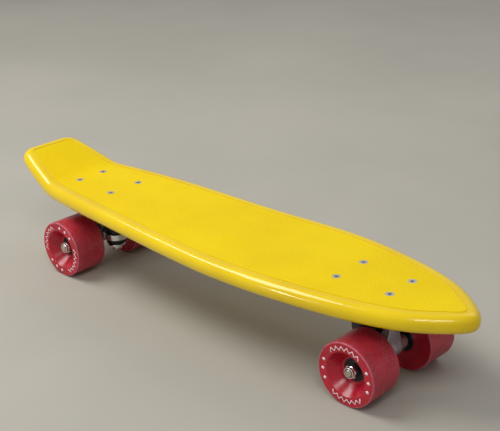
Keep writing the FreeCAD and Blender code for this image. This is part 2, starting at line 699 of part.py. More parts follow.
def make_cup_washer():
    """A cupped washer: floor on Z = 0 with its lip standing up round the bushing."""
    inner = "bushing_diameter / 2 - bushing_taper + cup_play + bushing_taper * cup_lip / lower_bushing / 0.65"
    return turned("cup_washer", [
        ("kingpin_diameter / 2 + bushing_play", "0"), (inner, "0"),
        (inner + " + cup_thick", "cup_thick * 0.6"), (inner + " + cup_thick", "cup_thick + cup_lip"),
        (inner, "cup_thick + cup_lip"), (inner, "cup_thick"),
        ("kingpin_diameter / 2 + bushing_play", "cup_thick")])


def make_pivot_cup():
    """Origin at the cup's mouth, Z into the socket."""
    return turned("pivot_liner", [
        ("0", "cup_length"), ("0", "cup_length - cup_floor"),
        ("pivot_diameter / 2 + pivot_play", "cup_length - cup_floor"),
        ("pivot_diameter / 2 + pivot_play", "0"), ("cup_diameter / 2", "0"),
        ("cup_diameter / 2", "cup_length")])


def make_hanger():
    """The casting that carries the axle. Its own origin is the middle of the axle."""
    hanger = new_body("truck_hanger")
    shoulder = "0 - hub_width / 2"
    arm = [("0", "0 - " + ARM_REACH), ("arm_diameter / 2 - arm_bevel", "0 - " + ARM_REACH),
           ("arm_diameter / 2", "arm_bevel - " + ARM_REACH), ("arm_diameter / 2", shoulder + " - arm_bevel"),
           ("hub_diameter / 2 - arm_bevel", shoulder), ("hub_diameter / 2", shoulder + " + arm_bevel")]
    mirror = [(r, "0 - (%s)" % y) for r, y in reversed(arm)]
    spin(hanger, add_outline(new_sketch(hanger, "XY_Plane"), arm + mirror))
    ring_x = "0 - axle_out - ring_setback"
    pad(hanger, level_circle(hanger, ring_x, "ring_rise", "ring_diameter"), "ring_thick", both_ways=True)
    root = on_steering("0 - stub_length", "pivot_out - axle_out", "pivot_rise")
    stub = add_circle(leaning_sketch(hanger, *root, STEER_LEAN), "0", "0", "pivot_diameter")
    pad(hanger, stub, "stub_length + cup_length / 2 - cup_floor - pivot_gap")
    end = on_steering("cup_length / 2 - cup_floor - pivot_gap", "pivot_out - axle_out", "pivot_rise")
    tip = number(end[0])
    round_edges(hanger, "stub_round", lambda edge: abs(edge.CenterOfMass.x - tip) < 0.05 and edge.Length > 10)

    front = "hub_diameter / 2 - web_setback"
    web = add_outline(new_sketch(hanger, "YZ_Plane", front + " - web_thick"), [
        ("0 - web_foot / 2", "0"), ("web_foot / 2", "0"), ("web_foot / 2", "hub_diameter / 2 - 1"),
        ("web_top / 2", root[1]), ("0 - web_top / 2", root[1]),
        ("0 - web_foot / 2", "hub_diameter / 2 - 1")])
    pad(hanger, web, "web_thick")
    neck_foot, neck_top = "ring_rise - ring_thick / 2", "ring_rise + ring_thick / 2"
    neck = [(ring_x + " + ring_bore", neck_foot), (ring_x + " + ring_bore", neck_top),
            ("0 - hub_diameter / 2", neck_top + " + 1"), ("0", "hub_diameter / 2 - 0.4"),
            ("0", "1 - hub_diameter / 2"), ("0 - hub_diameter / 2", neck_foot + " - neck_drop")]
    pad(hanger, add_outline(new_sketch(hanger, "XZ_Plane"), neck), "neck_width", both_ways=True)
    across = "((pivot_diameter / 2 - 0.5) * sin(%s))" % STEER_ANGLE
    along = "((pivot_diameter / 2 - 0.5) * cos(%s))" % STEER_ANGLE
    rib = [("0 - 3", "0"), ("0 - 3", "hub_diameter / 2 + 2"),
           ("%s - %s" % (root[0], across), "%s + %s" % (root[1], along)),
           ("%s + %s" % (root[0], across), "%s - %s" % (root[1], along)),
           (front, "hub_diameter / 2"), (front, "0")]
    pad(hanger, add_outline(new_sketch(hanger, "XZ_Plane"), rib), "web_width", both_ways=True)
    relief = "bushing_diameter + 2 * bushing_relief"
    for side, away in (("", True), ("0 - ", False)):
        face = "ring_rise + (%sring_thick / 2)" % side
        pocket(hanger, level_circle(hanger, ring_x, face, relief), "truck_height", reverse=away)
    bore = level_circle(hanger, ring_x, "ring_rise", "ring_bore")
    pocket(hanger, bore, "2 * ring_thick", both_ways=True)
    axle_hole = add_circle(new_sketch(hanger, "XZ_Plane"), "0", "0", "axle_diameter")
    pocket(hanger, axle_hole, "4 * " + ARM_REACH, both_ways=True)
    return hanger


def make_axle():
    """Origin in its middle, Z along it."""
    end = "(%s + axle_nut_height + axle_tip)" % AXLE_NUT
    return turned("truck_axle", [
        ("0", "0 - " + end), ("axle_diameter / 2 - axle_bevel", "0 - " + end),
        ("axle_diameter / 2", "axle_bevel - " + end), ("axle_diameter / 2", end + " - axle_bevel"),
        ("axle_diameter / 2 - axle_bevel", end), ("0", end)])


def lean(end, angle):
    """Rotation that tips +Z outwards in one truck's own frame."""
    tip = FreeCAD.Rotation(FreeCAD.Vector(0, 1, 0), number(angle))
    return truck_turn(end).multiply(tip)


def make_trucks():
    riser, base, kingpin = make_riser(), make_baseplate(), make_kingpin()
    upper = make_bushing("bushing_upper", "upper_bushing")
    lower = make_bushing("bushing_lower", "lower_bushing")
    flat, cup = make_upper_washer(), make_cup_washer()
    pin_nut = make_nut("kingpin_locknut", "kingpin_nut_flats", "kingpin_nut_height", "kingpin_diameter")
    liner, hanger, axle = make_pivot_cup(), make_hanger(), make_axle()
    nut = make_nut("axle_locknut", "axle_nut_flats", "axle_nut_height", "axle_diameter")
    washer = turned("axle_washer", ring_section(
        BEARING_BORE, "(%s + 2 * washer_rim)" % BEARING_BORE, "0", "washer_thick"))
    spacer = turned("bearing_spacer", ring_section(BEARING_BORE, "(%s + 2 * spacer_wall)" % BEARING_BORE, "0",
                                                   OUTER_BEARING + " - bearing_sink - bearing_width"))
    for end in TRUCKS:
        turn = truck_turn(end)
        hang = turn.multiply(UPSIDE_DOWN)

        def node(name, source, out, z, rotation):
            label = end + "_" + name
            keep(label, gather(label, [copy_of(source, truck_x(end, out), "0", z, rotation)]))

        node("riser", riser, "0", PAD_Z, turn)
        node("baseplate", base, "0", BASE_TOP, turn)
        node("kingpin", kingpin, RING_X, RING_Z, turn)
        node("upper_bushing", upper, *on_kingpin("ring_thick / 2"), turn)
        node("lower_bushing", lower, *on_kingpin("0 - ring_thick / 2"), hang)
        node("upper_washer", flat, *on_kingpin("ring_thick / 2 + upper_bushing"), turn)
        node("cup_washer", cup, *on_kingpin("0 - " + NUT_TOP), turn)
        node("kingpin_nut", pin_nut, *on_kingpin("0 - " + NUT_TOP), hang)
        node("pivot_cup", liner, *on_steering("0 - cup_length / 2"), lean(end, STEER_LEAN))
        node("hanger", hanger, "axle_out", AXLE_Z, turn)
        node("axle", axle, "axle_out", AXLE_Z, OUTWARD["left"])

        def both_sides(name, source, offsets):
            pieces = [copy_of(source, truck_x(end, "axle_out"), "%d * (%s)" % (sign, offset), AXLE_Z,
                              OUTWARD[side]) for side, sign in SIDES.items() for offset in offsets]
            keep(end + "_" + name, gather(end + "_" + name, pieces))

        both_sides("axle_nuts", nut, [AXLE_NUT])
        both_sides("axle_washers", washer, [ARM_REACH, AXLE_NUT + " - washer_thick"])
        both_sides("bearing_spacers", spacer, ["wheel_inner + bearing_sink + bearing_width"])
        both_sides("bearing_inner_rings", inner_ring, BEARING_Y)


# ---------------------------------------------------------------- wheels and bearings
def bearing_ring(name, inner, outer):
    """One ring of the ball bearing with its ball groove, standing on Z = 0."""
    ring = new_body(name)
    spin(ring, add_outline(new_sketch(ring, "XZ_Plane"), ring_section(inner, outer, "0", "bearing_width")))
    track = add_circle(new_sketch(ring, "XZ_Plane"), BALL_PITCH + " / 2", "bearing_width / 2",
                       "ball_diameter + 2 * ball_play")
    spin(ring, track, "Groove")
    return ring


def round_the_pitch(index, radius):
    """Where ball number index sits, at a radius given as an expression, and its angle."""
    angle = 360 * (2 * index + 1) / (2 * BALLS)
    return "%s * cos(%.12g)" % (radius, angle), "%s * sin(%.12g)" % (radius, angle), angle


def make_balls():
    balls = []
    for index in range(BALLS):
        ball = doc.addObject("Part::Sphere", "ball")
        bind(ball, Radius="ball_diameter / 2")
        x, y, angle = round_the_pitch(index, BALL_PITCH + " / 2")
        balls.append(place(ball, x, y, "bearing_width / 2"))
    return gather("ball_set", balls)


def make_cage():
    """A plain ring with one round pocket, drilled from outside, for each ball."""
    blank = turned("cage_blank", ring_section(
        "(%s - cage_thick)" % BALL_PITCH, "(%s + cage_thick)" % BALL_PITCH,
        "(bearing_width - cage_width) / 2", "(bearing_width + cage_width) / 2"))
    drills = []
    for index in range(BALLS):
        drill = doc.addObject("Part::Cylinder", "pocket_drill")
        bind(drill, Radius="ball_diameter / 2 + pocket_play", Height="3 * cage_thick")
        x, y, angle = round_the_pitch(index, "(%s / 2 - 1.5 * cage_thick)" % BALL_PITCH)
        outwards = FreeCAD.Rotation(FreeCAD.Vector(0, 0, 1), angle).multiply(
            FreeCAD.Rotation(FreeCAD.Vector(0, 1, 0), 90))
        drills.append(place(drill, x, y, "bearing_width / 2", outwards))
    return combine("Cut", "ball_cage", blank, gather("cage_pockets", drills))


def make_tyre():
    """The urethane wheel, standing on its inner face: a plain tread, a flat printed face and
    a dished recess."""
    floor = "wheel_width - dish_depth"
    bore = CORE_DIAMETER + " / 2 + core_play"
    tyre = turned("wheel_tyre", [
        (bore, "0"), ("wheel_diameter / 2", "0"), ("wheel_diameter / 2", "wheel_width"),
        ("mouth_diameter / 2", "wheel_width"), (CORE_DIAMETER + " / 2 + floor_ledge", floor), (bore, floor)])
    round_edges(tyre, "wheel_round", ring_at("wheel_diameter / 2", "wheel_width"))
    round_edges(tyre, "wheel_round", ring_at("wheel_diameter / 2", "0"))
    round_edges(tyre, "mouth_round", ring_at("mouth_diameter / 2", "wheel_width"))
    return tyre


def make_core():
    """The stiff core: a bearing seat at each end and a shoulder between them."""
    seat, outer = "bearing_outside / 2", CORE_DIAMETER + " / 2"
    shoulder = seat + " - bearing_shoulder"
    top = "wheel_width - dish_depth"
    return turned("wheel_core", [
        (seat, "0"), (outer, "0"), (outer, top), (seat, top), (seat, OUTER_BEARING),
        (shoulder, OUTER_BEARING), (shoulder, "bearing_sink + bearing_width"),
        (seat, "bearing_sink + bearing_width")])


def make_wheels():
    tyre, core, cage, balls = make_tyre(), make_core(), make_cage(), make_balls()
    outer_ring = bearing_ring("bearing_outer", "(%s + 2 * outer_land)" % BALL_PITCH, "bearing_outside")
    shield = turned("bearing_shield", ring_section(
        "(%s - 2 * inner_land + 2 * shield_gap)" % BALL_PITCH, "(%s + 2 * outer_land - 0.1)" % BALL_PITCH,
        "0", "shield_thick"))
    shields = gather("shield_pair", [copy_of(shield, z="shield_sink"),
                                     copy_of(shield, z="bearing_width - shield_sink - shield_thick")])
    for end in TRUCKS:
        for side, sign in SIDES.items():
            def node(name, source, offsets):
                pieces = [copy_of(source, truck_x(end, "axle_out"), "%d * (%s)" % (sign, offset), AXLE_Z,
                                  OUTWARD[side]) for offset in offsets]
                label = "%s_%s_%s" % (end, side, name)
                keep(label, gather(label, pieces))
            node("tyre", tyre, ["wheel_inner"])
            node("wheel_core", core, ["wheel_inner"])
            node("bearing_outer_rings", outer_ring, BEARING_Y)
            node("bearing_shields", shields, BEARING_Y)
            node("ball_cages", cage, BEARING_Y)
            node("balls", balls, BEARING_Y)


make_deck()
make_screws()
inner_ring = bearing_ring("bearing_inner", BEARING_BORE, "(%s - 2 * inner_land)" % BALL_PITCH)
make_trucks()
make_wheels()
doc.recompute()

for thing in doc.Objects:
    if "Invalid" in thing.State or "Error" in thing.State:
        raise SystemExit("%s failed: %s" % (thing.Name, thing.State))
os.makedirs("parts", exist_ok=True)
for name, thing in nodes.items():
    if thing.Shape.isNull() or not thing.Shape.isValid():
        raise SystemExit(name + " has no valid shape")
    thing.Shape.exportStep("parts/%s.step" % name)
print(len(nodes), "nodes written")
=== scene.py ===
import json
import math

import bmesh
import bpy
import numpy as np
from mathutils import Matrix, Vector


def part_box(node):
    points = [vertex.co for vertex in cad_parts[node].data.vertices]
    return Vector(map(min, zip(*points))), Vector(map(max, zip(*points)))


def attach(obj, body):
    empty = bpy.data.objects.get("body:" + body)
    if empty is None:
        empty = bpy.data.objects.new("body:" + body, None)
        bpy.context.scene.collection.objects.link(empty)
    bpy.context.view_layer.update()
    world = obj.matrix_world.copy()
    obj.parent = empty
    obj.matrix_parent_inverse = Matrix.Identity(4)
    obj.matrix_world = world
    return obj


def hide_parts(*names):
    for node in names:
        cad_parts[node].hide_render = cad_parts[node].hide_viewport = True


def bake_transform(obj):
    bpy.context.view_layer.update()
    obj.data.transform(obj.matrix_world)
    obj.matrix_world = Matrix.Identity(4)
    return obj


# A small moulded-plastic skateboard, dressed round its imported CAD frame: metres, +X to the nose,
# +Z up, the floor at Z = 0. Every length below is in metres unless its name says otherwise.

MM = 0.001
TRUCKS = {"front": 1, "rear": -1}
SIDES = {"left": 1, "right": -1}

# The hanger: how far out its turned arms begin, and its ring's radius and half thickness.
TURNED_FROM, RING_RADIUS, RING_HALF = 13.6 * MM, 15.5 * MM, 4.0 * MM

# Points nearer than this are one point, and edges that turn more than this stay crisp.
SAME_POINT = 0.001 * MM
CRISP_TURN = math.radians(32)
BEVELLED_TURN = math.radians(35)

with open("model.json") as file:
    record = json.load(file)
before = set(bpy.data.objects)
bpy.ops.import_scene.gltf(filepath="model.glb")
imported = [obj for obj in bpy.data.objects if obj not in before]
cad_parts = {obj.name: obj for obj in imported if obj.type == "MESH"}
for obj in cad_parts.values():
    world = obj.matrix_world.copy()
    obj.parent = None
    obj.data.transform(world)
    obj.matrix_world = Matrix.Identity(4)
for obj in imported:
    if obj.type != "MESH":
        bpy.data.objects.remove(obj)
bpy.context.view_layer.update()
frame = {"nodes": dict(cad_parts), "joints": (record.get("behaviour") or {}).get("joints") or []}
nodes = frame["nodes"]
joints = {joint["name"]: joint for joint in frame["joints"]}


# ---------------------------------------------------------------- node graphs
class Graph:
    """A procedural material under construction, laid out in the object's own coordinates."""

    def __init__(self, name, **sockets):
        self.material = bpy.data.materials.new(name)
        self.material.use_nodes = True
        self.tree = self.material.node_tree
        self.tree.nodes.clear()
        self.shader = self.tree.nodes.new("ShaderNodeBsdfPrincipled")
        output = self.tree.nodes.new("ShaderNodeOutputMaterial")
        self.tree.links.new(self.shader.outputs[0], output.inputs[0])
        self.place = self.tree.nodes.new("ShaderNodeTexCoord").outputs["Object"]
        for socket, value in sockets.items():
            self.shader.inputs[socket.replace("_", " ")].default_value = value
        self.bumped = None

    def feed(self, socket, value):
        """Links an output to a socket, or sets the socket to a constant."""
        if isinstance(value, bpy.types.NodeSocket):
            self.tree.links.new(value, socket)
        else:
            socket.default_value = value

    def noise(self, scale, detail=4.0, rough=0.55, place=None, warp=0.0):
        made = self.tree.nodes.new("ShaderNodeTexNoise")
        made.inputs["Scale"].default_value = scale
        made.inputs["Detail"].default_value = detail
        made.inputs["Roughness"].default_value = rough
        made.inputs["Distortion"].default_value = warp
        self.feed(made.inputs["Vector"], place or self.place)
        return made.outputs["Fac"]

    def cells(self, scale):
        """The distance to the nearest of many scattered points."""
        made = self.tree.nodes.new("ShaderNodeTexVoronoi")
        made.feature = "F1"
        made.inputs["Scale"].default_value = scale
        self.feed(made.inputs["Vector"], self.place)
        return made.outputs["Distance"]

    def ramp(self, value, low, high, start=0.0, end=1.0):
        """value from low to high becomes start to end, and stays there beyond them."""
        made = self.tree.nodes.new("ShaderNodeMapRange")
        made.interpolation_type = "SMOOTHSTEP"
        for socket, number in zip(made.inputs[1:5], (low, high, start, end)):
            self.feed(socket, number)
        self.feed(made.inputs[0], value)
        return made.outputs[0]

    def math(self, kind, first, second=0.0):
        made = self.tree.nodes.new("ShaderNodeMath")
        made.operation = kind
        self.feed(made.inputs[0], first)
        self.feed(made.inputs[1], second)
        return made.outputs[0]

    def mix(self, share, first, second):
        """A colour between two colours."""
        made = self.tree.nodes.new("ShaderNodeMix")
        made.data_type = "RGBA"
        self.feed(made.inputs["Factor"], share)
        for socket, colour in ((made.inputs[6], first), (made.inputs[7], second)):
            self.feed(socket, colour if isinstance(colour, bpy.types.NodeSocket) else (*colour, 1.0))
        return made.outputs[2]

    def stretched(self, x, y, z, place=None):
        """The object's coordinates scaled along each axis."""
        made = self.tree.nodes.new("ShaderNodeMapping")
        made.inputs["Scale"].default_value = (x, y, z)
        self.feed(made.inputs["Vector"], place or self.place)
        return made.outputs[0]

    def axis(self, index):
        """One of the object's own coordinates."""
        made = self.tree.nodes.new("ShaderNodeSeparateXYZ")
        self.feed(made.inputs[0], self.place)
        return made.outputs[index]

    def attribute(self, name, kind="Fac"):
        made = self.tree.nodes.new("ShaderNodeAttribute")
        made.attribute_name = name
        return made.outputs[kind]

    def edges(self, low, high):
        """1 on worn convex edges, 0 elsewhere."""
        made = self.tree.nodes.new("ShaderNodeNewGeometry")
        return self.ramp(made.outputs["Pointiness"], low, high)

    def bump(self, height, distance, strength):
        """Adds a relief to the ones already there."""
        made = self.tree.nodes.new("ShaderNodeBump")
        made.inputs["Distance"].default_value = distance
        made.inputs["Strength"].default_value = strength
        self.feed(made.inputs["Height"], height)
        if self.bumped is not None:
            self.feed(made.inputs["Normal"], self.bumped)
        self.bumped = made.outputs[0]

    def finish(self, colour, roughness):
        self.feed(self.shader.inputs["Base Color"], colour)
        self.feed(self.shader.inputs["Roughness"], roughness)
        if self.bumped is not None:
            self.feed(self.shader.inputs["Normal"], self.bumped)
        return self.material


# ---------------------------------------------------------------- materials
YELLOW = (0.84, 0.60, 0.001)
YELLOW_DEEP = (0.78, 0.54, 0.001)
YELLOW_PALE = (0.88, 0.66, 0.004)
YELLOW_SCUFFED = (0.88, 0.70, 0.08)
ROAD_DUST = (0.42, 0.34, 0.12)


def deck_standing_surface():
    """Yellow polypropylene with a fine moulded leather grain, a little scuffed."""
    g = Graph("deck_grained_yellow", Specular_IOR_Level=0.10)
    clouds = g.noise(9, 3)
    grain = g.cells(620)
    pores = g.noise(2200, 3)
    scuffs = g.noise(70, 6, 0.7, g.stretched(0.25, 1.0, 1.0), 0.4)
    worn = g.ramp(scuffs, 0.60, 0.78)
    colour = g.mix(g.ramp(clouds, 0.35, 0.65), YELLOW, YELLOW_DEEP)
    colour = g.mix(g.ramp(grain, 0.15, 0.6, 0.0, 0.3), colour, YELLOW_PALE)
    colour = g.mix(g.math("MULTIPLY", worn, 0.16), colour, YELLOW_SCUFFED)
    g.bump(grain, 0.45 * MM, 0.8)
    g.bump(pores, 0.07 * MM, 0.5)
    g.bump(g.noise(14, 2), 1.2 * MM, 0.25)
    return g.finish(colour, g.ramp(scuffs, 0.3, 0.75, 0.42, 0.56))


def deck_polished_rim():
    """The same plastic where the mould was polished: glossy, faintly rippled, thin scratches."""
    g = Graph("deck_glossy_yellow", Specular_IOR_Level=0.35, Coat_Weight=0.3, Coat_Roughness=0.07)
    clouds = g.noise(11, 3)
    scratches = g.ramp(g.noise(160, 5, 0.75, g.stretched(0.06, 1.0, 1.6)), 0.66, 0.74)
    colour = g.mix(g.ramp(clouds, 0.35, 0.65), YELLOW, YELLOW_DEEP)
    colour = g.mix(g.math("MULTIPLY", scratches, 0.2), colour, YELLOW_PALE)
    g.bump(g.noise(60, 2), 0.6 * MM, 0.22)
    g.bump(g.noise(420, 2), 0.06 * MM, 0.4)
    g.bump(scratches, 0.04 * MM, 0.6)
    return g.finish(colour, g.ramp(g.noise(120, 4), 0.3, 0.8, 0.15, 0.30))


def deck_underside():
    """The plain mould finish underneath: satin, with flow marks and a little road dust."""
    g = Graph("deck_satin_yellow", Specular_IOR_Level=0.45)
    dust = g.ramp(g.noise(26, 6, 0.65), 0.50, 0.80, 0.0, 0.35)
    colour = g.mix(g.ramp(g.noise(7, 3), 0.35, 0.65), YELLOW, YELLOW_DEEP)
    colour = g.mix(dust, colour, ROAD_DUST)
    g.bump(g.noise(700, 3), 0.08 * MM, 0.5)
    return g.finish(colour, g.ramp(g.noise(90, 4), 0.3, 0.8, 0.34, 0.52))


CRIMSON = (0.50, 0.010, 0.030)
CRIMSON_DEEP = (0.36, 0.006, 0.019)
CHALK = (0.66, 0.24, 0.33)
RUBBED_LINE = (0.52, 0.15, 0.21)
INK = (0.88, 0.80, 0.84)
INK_RUBBED = (0.55, 0.16, 0.20)


def wheel_urethane():
    """Crimson urethane: chalky and rubbed on the tread, satin on the flat faces and in the
    recess. The 'worn' attribute says how much a place is rubbed, 'corner' marks the edge of the
    tread and 'round' runs round the wheel."""
    g = Graph("wheel_crimson_urethane", Specular_IOR_Level=0.5)
    worn, corner = g.attribute("worn"), g.attribute("corner")
    streaks = g.noise(1.0, 6, 0.7, g.stretched(7, 7, 1500, g.attribute("round", "Vector")))
    mottle = g.noise(620, 5, 0.65)
    patches = g.noise(85, 4, 0.6)
    chalk = g.math("ADD", g.ramp(mottle, 0.35, 0.75, 0.0, 0.5), g.ramp(streaks, 0.45, 0.75, 0.0, 0.28))
    chalk = g.math("MULTIPLY", chalk, g.ramp(patches, 0.25, 0.7, 0.3, 1.0))
    rubbed = g.math("MULTIPLY", chalk, worn)
    colour = g.mix(g.ramp(g.noise(35, 3), 0.3, 0.7), CRIMSON, CRIMSON_DEEP)
    colour = g.mix(g.math("MINIMUM", rubbed, 0.8), colour, CHALK)
    line = g.math("MULTIPLY", corner, g.ramp(g.noise(260, 4, 0.6), 0.30, 0.66, 0.15, 0.9))
    colour = g.mix(line, colour, RUBBED_LINE)
    grit = g.noise(1500, 3)
    g.bump(g.math("MULTIPLY", mottle, worn), 0.12 * MM, 0.7)
    g.bump(g.math("MULTIPLY", grit, g.math("ADD", g.math("MULTIPLY", worn, 0.8), 0.2)), 0.06 * MM, 0.6)
    smooth_gloss = g.ramp(g.noise(140, 3), 0.3, 0.8, 0.20, 0.32)
    roughness = g.math("ADD", smooth_gloss, g.math("MULTIPLY", worn, 0.30))
    return g.finish(colour, roughness)


def wheel_print():
    """White pad-printed ink, thin and a little rubbed away."""
    g = Graph("wheel_print_white", Specular_IOR_Level=0.4)
    rubbed = g.ramp(g.noise(700, 5, 0.7), 0.50, 0.72, 0.0, 0.75)
    g.bump(g.noise(1200, 3), 0.03 * MM, 0.5)
    colour = g.mix(rubbed, INK, INK_RUBBED)
    return g.finish(colour, g.ramp(g.noise(300), 0.3, 0.7, 0.4, 0.6))


CAST_LIGHT, CAST_DARK = (0.60, 0.575, 0.62), (0.46, 0.435, 0.48)
CAST_GRIME = (0.27, 0.25, 0.29)
CAST_RUBBED = (0.80, 0.79, 0.81)
TURNED_LIGHT, TURNED_DARK = (0.86, 0.86, 0.87), (0.70, 0.70, 0.72)


def cast_aluminium(end):
    """Sand-cast aluminium: grainy with grime in random patches, bright on rubbed edges, round the
    ring and on the turned arms. Each truck has its own, because the ring's place differs."""
    g = Graph(end + "_truck_cast_aluminium", Metallic=0.85)
    ring = joints[end + "_steer"]["pos_m"]
    grain = g.noise(1300, 4, 0.7)
    blotch = g.noise(150, 5, 0.6)
    grime = g.ramp(g.noise(70, 5, 0.65), 0.40, 0.75, 0.0, 0.4)
    colour = g.mix(g.ramp(blotch, 0.3, 0.7), CAST_LIGHT, CAST_DARK)
    colour = g.mix(grime, colour, CAST_GRIME)
    colour = g.mix(g.edges(0.51, 0.58), colour, CAST_RUBBED)
    out = g.math("ABSOLUTE", g.axis(1))
    turned = g.ramp(out, TURNED_FROM, TURNED_FROM + 0.4 * MM)
    along = g.math("SUBTRACT", g.axis(0), ring[0])
    spread = g.math("SQRT", g.math("ADD", g.math("POWER", along, 2.0), g.math("POWER", out, 2.0)))
    height = g.math("ABSOLUTE", g.math("SUBTRACT", g.axis(2), ring[2]))
    band = g.math("MULTIPLY", g.ramp(spread, RING_RADIUS - 0.9 * MM, RING_RADIUS - 0.5 * MM),
                  g.ramp(spread, RING_RADIUS + 0.4 * MM, RING_RADIUS + 0.8 * MM, 1.0, 0.0))
    band = g.math("MULTIPLY", band, g.ramp(height, RING_HALF, RING_HALF + 0.4 * MM, 1.0, 0.0))
    smooth = g.math("MAXIMUM", turned, band)
    bright = g.mix(g.ramp(blotch, 0.3, 0.7), TURNED_LIGHT, TURNED_DARK)
    colour = g.mix(smooth, colour, bright)
    g.bump(g.math("MULTIPLY", grain, g.math("SUBTRACT", 1.0, smooth)), 0.22 * MM, 0.7)
    g.bump(g.noise(3200, 2), 0.03 * MM, 0.5)
    roughness = g.math("SUBTRACT", g.ramp(blotch, 0.3, 0.7, 0.42, 0.56), g.math("MULTIPLY", smooth, 0.24))
    return g.finish(colour, roughness)


def bare_metal(name, colour, dark, rough, grime=0.3):
    """Plated or turned steel with fine marks and dull patches."""
    g = Graph(name, Metallic=1.0)
    patches = g.noise(240, 5, 0.65)
    marks = g.noise(1400, 3, 0.6)
    shade = g.mix(g.ramp(patches, 0.45, 0.8, 0.0, grime), colour, dark)
    shade = g.mix(g.ramp(marks, 0.3, 0.8, 0.0, 0.3), shade, dark)
    g.bump(marks, 0.04 * MM, 0.5)
    return g.finish(shade, g.ramp(patches, 0.3, 0.8, rough, rough + 0.16))


SCREW_LIGHT, SCREW_DARK = (0.93, 0.92, 0.86), (0.60, 0.58, 0.50)
# Painted shade: the near-black colour that fills the screws' cross recesses.
SCREW_RECESS_SHADE = (0.05, 0.045, 0.035)


def screw_metal():
    """Zinc plated screws, dull, with painted shade in the cross recess and bright on the head's face."""
    g = Graph("zinc_screw_steel", Metallic=1.0)
    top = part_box("front_deck_screws")[1].z
    depth = g.math("SUBTRACT", top, g.axis(2))
    below_the_face = g.ramp(depth, 0.15 * MM, 0.5 * MM)
    above_its_floor = g.ramp(depth, 2.0 * MM, 2.6 * MM, 1.0, 0.0)
    # Painted shade: the cross recess, found by its depth below the head's face, is coloured near black.
    painted_recess_shade = g.math("MULTIPLY", below_the_face, above_its_floor)
    marks = g.noise(1400, 3)
    shade = g.mix(g.ramp(marks, 0.3, 0.8, 0.0, 0.4), SCREW_LIGHT, SCREW_DARK)
    shade = g.mix(painted_recess_shade, shade, SCREW_RECESS_SHADE)
    g.bump(marks, 0.04 * MM, 0.5)
    return g.finish(shade, g.ramp(g.noise(240, 5), 0.3, 0.8, 0.30, 0.46))


def black_polymer(name, colour, rough, grain, depth):
    """Black nylon, rubber or urethane with its own moulded grain and light dust on it."""
    g = Graph(name, Specular_IOR_Level=0.4)
    film = g.ramp(g.noise(150, 6, 0.7), 0.48, 0.8, 0.0, 0.25)
    dusty = tuple(0.10 + 0.5 * part for part in colour)
    paler = tuple(1.9 * part for part in colour)
    shade = g.mix(film, colour, dusty)
    shade = g.mix(g.ramp(g.noise(900, 2), 0.4, 0.7, 0.0, 0.3), shade, paler)
    g.bump(g.noise(grain, 3, 0.6), depth, 0.7)
    return g.finish(shade, g.ramp(g.noise(200, 4), 0.3, 0.8, rough, rough + 0.18))


PAPER_LIGHT, PAPER_DARK = (0.45, 0.43, 0.375), (0.41, 0.395, 0.345)


def backdrop_paper():
    """Pale seamless paper with the faintest mottling."""
    g = Graph("studio_floor", Specular_IOR_Level=0.2)
    g.bump(g.noise(900, 3), 0.1 * MM, 0.3)
    colour = g.mix(g.ramp(g.noise(2.5, 4), 0.3, 0.7), PAPER_LIGHT, PAPER_DARK)
    return g.finish(colour, g.ramp(g.noise(300, 4), 0.3, 0.7, 0.7, 0.85))


DECK_GRAINED, DECK_GLOSSY, DECK_UNDER = deck_standing_surface(), deck_polished_rim(), deck_underside()
URETHANE, PRINT = wheel_urethane(), wheel_print()
ZINC = bare_metal("zinc_plated_steel", (0.78, 0.77, 0.75), (0.42, 0.41, 0.40), 0.16)
CHROME = bare_metal("bright_plated_washer", (0.86, 0.86, 0.86), (0.50, 0.50, 0.51), 0.10)
AXLE_STEEL = bare_metal("turned_axle_steel", (0.62, 0.56, 0.46), (0.33, 0.28, 0.21), 0.24, 0.4)
PIN_STEEL = bare_metal("oiled_kingpin_steel", (0.42, 0.40, 0.38), (0.16, 0.15, 0.14), 0.26, 0.5)
BALL_STEEL = bare_metal("ground_ball_steel", (0.80, 0.80, 0.80), (0.46, 0.46, 0.46), 0.10, 0.2)
# Painted shade: the bearing rings are coloured near black for the shade deep in the wheel's dish.
SHADE_BLACK_RING_STEEL = bare_metal("shade_black_bearing_steel", (0.045, 0.045, 0.05), (0.015, 0.015, 0.016), 0.28, 0.4)
INSERT = black_polymer("dark_nut_insert", (0.05, 0.045, 0.04), 0.35, 900, 0.05 * MM)
SCREW_STEEL = screw_metal()
NYLON = black_polymer("black_glass_nylon", (0.013, 0.013, 0.014), 0.34, 800, 0.12 * MM)
RUBBER = black_polymer("black_riser_rubber", (0.011, 0.011, 0.011), 0.52, 1200, 0.16 * MM)
BUSHING = black_polymer("black_bushing_urethane", (0.010, 0.010, 0.011), 0.30, 500, 0.06 * MM)
LINER = black_polymer("grey_pivot_urethane", (0.035, 0.035, 0.037), 0.42, 700, 0.06 * MM)
CORE = black_polymer("black_wheel_core", (0.012, 0.012, 0.013), 0.30, 900, 0.06 * MM)
SHIELD = black_polymer("black_bearing_seal", (0.008, 0.008, 0.009), 0.36, 700, 0.03 * MM)
CAGE = black_polymer("brown_cage_nylon", (0.05, 0.03, 0.018), 0.40, 700, 0.04 * MM)

NODE_MATERIALS = {
    "riser": RUBBER, "baseplate": NYLON, "kingpin": PIN_STEEL, "upper_washer": CHROME,
    "cup_washer": CHROME, "pivot_cup": LINER,
    "axle": AXLE_STEEL, "axle_washers": CHROME, "bearing_spacers": ZINC,
    "bearing_inner_rings": SHADE_BLACK_RING_STEEL, "deck_screws": SCREW_STEEL, "deck_nuts": ZINC,
    "wheel_core": CORE, "bearing_outer_rings": SHADE_BLACK_RING_STEEL, "bearing_shields": SHIELD,
    "ball_cages": CAGE, "balls": BALL_STEEL,
}


# ---------------------------------------------------------------- mesh helpers
def paint(obj, *materials):
    obj.data.materials.clear()
    for material in materials:
        obj.data.materials.append(material)
    return obj


